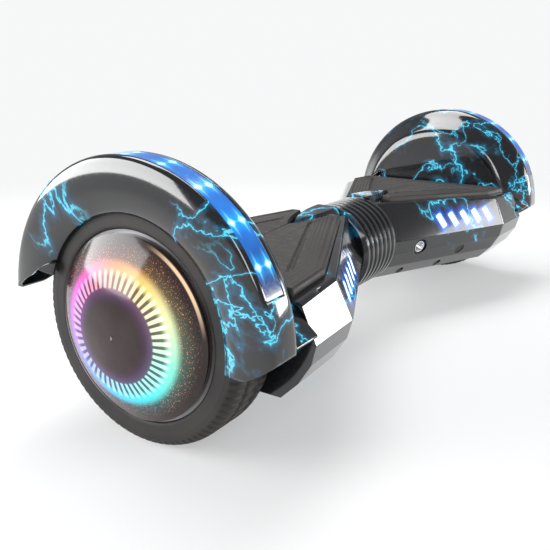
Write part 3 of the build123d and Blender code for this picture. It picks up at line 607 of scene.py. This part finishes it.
def fender(side):
    """The wheel cover: a section of flat inner wall, sloping shoulder, rim and bulged outer face, turned
    about the axle from its front edge to its rear edge, both of which depend on the radius, less the
    window's opening."""
    top, inx, outx = FENDER_TOP, fender_in_x / MM, fender_out_x / MM
    wall_part = np.array([(inx, r) for r in (14, 20, 30, 45, 60, 66, 72, 78, 84)], float)
    slope_part = rounded(np.array([(inx, 84.0), (inx + 2.2, 88.6), (inx + 9, 94.2), (inx + 18, 101.2),
                                   (inx + 25, 107.4), (inx + 29.5, top - 0.3), (inx + 33, top)]), 1.3)
    opening = np.array([(lens_low.x / MM - 0.3, top), (lens_high.x / MM + 0.3, top)])
    face_part = rounded(np.array([(outx - 3.5, top), (outx - 0.9, top - 1.6), (outx + 0.7, top - 6),
                                  (outx + 1.6, top - 13), (outx + 1.6, top - 21), (outx + 0.6, top - 28),
                                  (outx - 1.2, top - 33.5), (outx - 3.0, 74.3)]), 1.1)
    section = np.vstack([wall_part, slope_part[1:-1], opening, face_part[1:]])
    x, r = section.T
    inner = np.arange(len(x)) < len(wall_part) + 3
    start = np.where(inner, edge_turn(r, WALL_START), edge_turn(r, FACE_START))
    end = np.where(inner, edge_turn(r, WALL_END), edge_turn(r, FACE_END))
    steps = 220
    turn = start + (end - start) * np.linspace(0, 1, steps)[:, None]
    # the window's edges fall on whole rows of the grid
    edge = len(wall_part) + len(slope_part) - 2
    first, last = [np.abs(turn[:, edge] - limit).argmin() for limit in (lens_start, lens_end)]
    for column in range(edge - 6, len(x)):
        turn[:, column] = np.interp(np.arange(steps), [0, first, last, steps - 1],
                                    [start[column], lens_start, lens_end, end[column]])
    angle = np.radians(turn)
    points = MM * np.stack([np.broadcast_to(x, angle.shape), -r * np.cos(angle),
                            axle_z / MM + r * np.sin(angle)], axis=-1)
    keep = np.ones((steps - 1, len(x) - 1), bool)
    keep[first:last, edge] = False
    piece = grid_mesh(side + "_fender_skin", mirror_x(points, SIDES[side]), "fender_black", keep=keep)
    tidy_mesh(piece, outwards=False)
    if SIDES[side] > 0:
        piece.data.flip_normals()
    thicken(piece, 2.6 * MM)
    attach(piece, side + "_half")
    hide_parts(side + "_fender")


def carried(name, profile, stations, side, finish):
    """A closed (y, z) profile carried along X, drawn in towards its middle by each station's share."""
    middle = profile.mean(axis=0)
    rows = [np.column_stack([np.full(len(profile), x), middle + (profile - middle) * s]) for x, s in stations]
    piece = grid_mesh(name, mirror_x(np.array(rows), SIDES[side]), finish, across=True, caps=True)
    tidy_mesh(piece)
    return piece


def softened(points, radius, steps=5):
    """A closed outline with each corner replaced by a short parabola."""
    made = []
    for a, b, c in zip(np.roll(points, 1, axis=0), points, np.roll(points, -1, axis=0)):
        before, after = a - b, c - b
        p = b + before / np.linalg.norm(before) * min(radius, np.linalg.norm(before) * 0.45)
        q = b + after / np.linalg.norm(after) * min(radius, np.linalg.norm(after) * 0.45)
        t = np.linspace(0, 1, steps)[:, None]
        made.append((1 - t) ** 2 * p + 2 * t * (1 - t) * b + t ** 2 * q)
    return np.vstack(made)


def fender_foot(side):
    """The fender's block in front of the wheel, with a hollow that follows the tyre."""
    hollow, centre_z = 87.0, axle_z / MM
    arc = [(-hollow * cos(a), centre_z + hollow * sin(a)) for a in np.radians(np.linspace(-7, 13.5, 8))]
    outline = np.array([(-88, 103.0), (-108.5, 85.5), (-106, 83.5), (-91, 72.0)] + arc)
    profile = softened(outline, 1.6, 4) * MM
    lo, hi = fender_in_x + 0.3 * MM, fender_out_x - 0.8 * MM
    drawn_in = [(0.0, 0.93), (0.5 * MM, 0.98), (1.6 * MM, 1.0)]
    stations = [(lo + d, s) for d, s in drawn_in] + [(hi - d, s) for d, s in drawn_in[::-1]]
    piece = carried(side + "_fender_foot", profile, stations, side, "fender_black")
    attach(piece, side + "_half")


def half_width(x, inset):
    """Half width of the plan at x, moved inwards by inset: the slanted side, then the straight one."""
    slanted = neck_y - inset / cos(side_angle) + tan(side_angle) * (x - neck_x)
    straight = end_y - inset / cos(end_angle) + tan(end_angle) * (x - body_end_x)
    return np.minimum(slanted, straight)


def almond_half(x, grow=0.0):
    """Half width of the nose at x: the circle through its inner end, its widest place and its tip."""
    half = 14.0 * MM + grow
    ends = np.array([(neck_x - 6 * MM, half * 0.86), (neck_x + 22 * MM, half * 0.92),
                     (neck_x + 62 * MM + 2 * grow, 0.0)])
    cx, cy = np.linalg.solve(2 * (ends[1:] - ends[0]), (ends[1:] ** 2).sum(axis=1) - (ends[0] ** 2).sum())
    radius = np.hypot(*(ends[0] - (cx, cy)))
    return np.clip(cy + np.sqrt(np.clip(radius ** 2 - (x - cx) ** 2, 0, None)), 0, None)


def on_deck(u, v, w):
    """Points given on the right half's deck, along, across and out of it, as points of the shared frame."""
    return np.stack([u * cos(slope) + w * sin(slope), v,
                     deck_mid_z - u * sin(slope) + w * cos(slope)], axis=-1)


def foot_pad(side):
    """The pad's top as a height over the deck: rounded edges, a grid of grooved tiles, ridges near both
    edges, a deep diagonal groove, and a dip under the nose."""
    rows, columns = 300, 150
    inner, outer = neck_x + 20 * MM, body_end_x - 5 * MM
    inset = side_lean * (deck_end_z - waist_z + 3 * MM) + 7 * MM
    pitch_u, pitch_v, ridge_pitch = 17.0 * MM, 11.0 * MM, 3.4 * MM
    tile_cut, ridge_cut, frame_cut, diagonal_cut = 0.55 * MM, 0.5 * MM, 0.9 * MM, 1.6 * MM
    lean = 0.42   # of the diagonal groove, radians
    stations = np.linspace(inner, outer, rows)[:, None]
    width = half_width(stations, inset)
    v = np.linspace(-1, 1, columns)[None, :] * width
    u = np.broadcast_to(stations, v.shape)
    off = np.abs(v)
    edge = np.minimum(np.minimum(u - inner, outer - u), (width - off) * cos(side_angle))
    tiled = off < width - 20 * MM

    def line(distance, wide):
        return np.clip((wide - np.abs(distance)) / (0.5 * MM) + 0.5, 0, 1)

    height = pad_stand * (1 - np.clip(1 - edge / (2.6 * MM), 0, 1) ** 2.2) - 3 * MM * (edge < 1e-5)
    field = np.clip((edge - 5 * MM) / (0.8 * MM), 0, 1)
    frame_line = line(edge - 5.2 * MM, 0.5 * MM) * (edge > 3 * MM)
    shift = 0.5 * (np.floor(v / pitch_v) % 2)
    along = line((u / pitch_u + shift) % 1 * pitch_u - pitch_u / 2, 0.45 * MM)
    beside = line(v % pitch_v - pitch_v / 2, 0.45 * MM)
    tiles = np.maximum(along, beside) * tiled
    ridges = ((np.cos(2 * pi * (width - off) / ridge_pitch) * 0.5 + 0.5)
              * np.clip((21 * MM - width + off) / MM, 0, 1))
    diagonal = line((off - 8 * MM) * cos(lean) - (u - neck_x - 40 * MM) * sin(lean), 1.5 * MM)
    diagonal = diagonal * (off > 14 * MM) * tiled
    height = (height - field * (tile_cut * tiles + ridge_cut * ridges)
              - frame_cut * frame_line - diagonal_cut * diagonal * field)
    inside = np.clip((almond_half(u, 2.0 * MM) - off) / (1.2 * MM) + 0.5, 0, 1)
    height = height * (1 - inside) - 1.0 * MM * inside
    points = on_deck(u, v, height)
    notch = off < almond_half(u, 1.3 * MM)
    keep = ~(notch[:-1, :-1] | notch[1:, :-1] | notch[:-1, 1:] | notch[1:, 1:])
    piece = grid_mesh(side + "_pad_rubber", mirror_x(points, SIDES[side]), "pad_rubber", keep=keep)
    tidy_mesh(piece, outwards=False)
    if SIDES[side] < 0:
        piece.data.flip_normals()
    thicken(piece, 3.0 * MM)
    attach(piece, side + "_pad")
    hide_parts(side + "_foot_pad")


# ---- Studio ----

BACKDROP = (0.93, 0.935, 0.94)


def room():
    """The room's light: dim overhead, pale near the horizon, and the backdrop where the camera looks."""
    world = bpy.data.worlds.new("room")
    bpy.context.scene.world = world
    world.use_nodes = True
    g = Nodes(world.node_tree)
    seen, through = g.node("ShaderNodeLightPath", output=("Is Camera Ray", "Is Transmission Ray"))
    way = g.node("ShaderNodeTexCoord", output="Generated")
    height = g.node("ShaderNodeSeparateXYZ", None, {0: way}, "Z")
    lit = g.blend(height.fall(0.02, 0.22), (0.30, 0.30, 0.31), BACKDROP)
    g.give(g.tree.nodes["Background"].inputs[0], g.blend(seen.most(through), lit, BACKDROP))


def paper_floor():
    """Pale paper on the ground, which turns into the backdrop away from the board."""
    reach = 30.0
    mesh = bpy.data.meshes.new("floor")
    mesh.from_pydata([(-reach, -reach, 0), (reach, -reach, 0), (reach, reach, 0), (-reach, reach, 0)],
                     [], [(0, 1, 2, 3)])
    floor = bpy.data.objects.new("floor", mesh)
    bpy.context.scene.collection.objects.link(floor)
    f = Finish("floor_paper", Roughness=0.8, Specular_IOR_Level=0.2)
    f.vary(Base_Color=f.blend(f.noise(3, 3.0) * 0.3, (0.80, 0.80, 0.80), (0.84, 0.84, 0.84)))
    far = f.away((0, 0, 0)).rise(0.35, 1.1)
    seen, glossy = f.node("ShaderNodeLightPath", output=("Is Camera Ray", "Is Glossy Ray"))
    paper = f.node("ShaderNodeEmission", None, {"Color": rgba(BACKDROP), "Strength": 1.0})
    mixed = f.node("ShaderNodeMixShader", None, {0: (far * 0.6 + 0.4) * seen.most(glossy),
                                                 1: Field(f, f.shader.outputs[0]), 2: paper})
    f.give(f.tree.nodes["Material Output"].inputs[0], mixed)
    mesh.materials.append(f.material)


def studio():
    """The dim room, the pale floor and soft panels of light turned towards the board."""
    scene = bpy.context.scene
    scene.view_settings.view_transform = "Standard"
    room()
    paper_floor()
    target = Vector((0, 0, 0.09))
    for name, spot, size, power in (
            ("back_panel", (-1.15, 1.25, 0.62), (1.6, 0.9), 40.0),
            ("top_panel", (0.35, 0.45, 1.45), (1.4, 0.7), 22.0),
            ("face_panel", (1.19, -1.22, 0.23), (0.9, 0.28), 12.0),
            ("front_panel", (0.92, -1.68, 0.62), (1.0, 0.26), 6.0),
            ("side_panel", (-1.5, -0.9, 0.9), (0.5, 0.9), 11.0)):
        lamp = bpy.data.lights.new(name, "AREA")
        lamp.shape, lamp.size, lamp.size_y, lamp.energy = "RECTANGLE", size[0], size[1], power
        holder = bpy.data.objects.new(name, lamp)
        holder.location = spot
        holder.rotation_euler = (target - Vector(spot)).to_track_quat("-Z", "Y").to_euler()
        scene.collection.objects.link(holder)


def camera():
    """Low front view from the left wheel's side."""
    azimuth, elevation = radians(-56.56), radians(16.755)
    back = Vector((sin(azimuth) * cos(elevation), -cos(azimuth) * cos(elevation), sin(elevation)))
    right = Vector((cos(azimuth), sin(azimuth), 0))
    up = back.cross(right)
    data = bpy.data.cameras.new("camera")
    sensor, sight = 36.0, 687.07 / 550   # sight is the lens's distance as a share of the picture's width
    data.lens, data.sensor_width, data.clip_start = sensor * sight, sensor, 0.01
    holder = bpy.data.objects.new("camera", data)
    turn = Matrix((right, up, back)).transposed().to_4x4()
    spot = (-0.5719, -0.2996, 0.2409)
    holder.matrix_world = Matrix.Translation(spot) @ turn
    bpy.context.scene.collection.objects.link(holder)
    bpy.context.scene.camera = holder


finish_nodes()
for half in SIDES:
    tyre(half)
    fender(half)
    fender_foot(half)
    foot_pad(half)
studio()
camera()
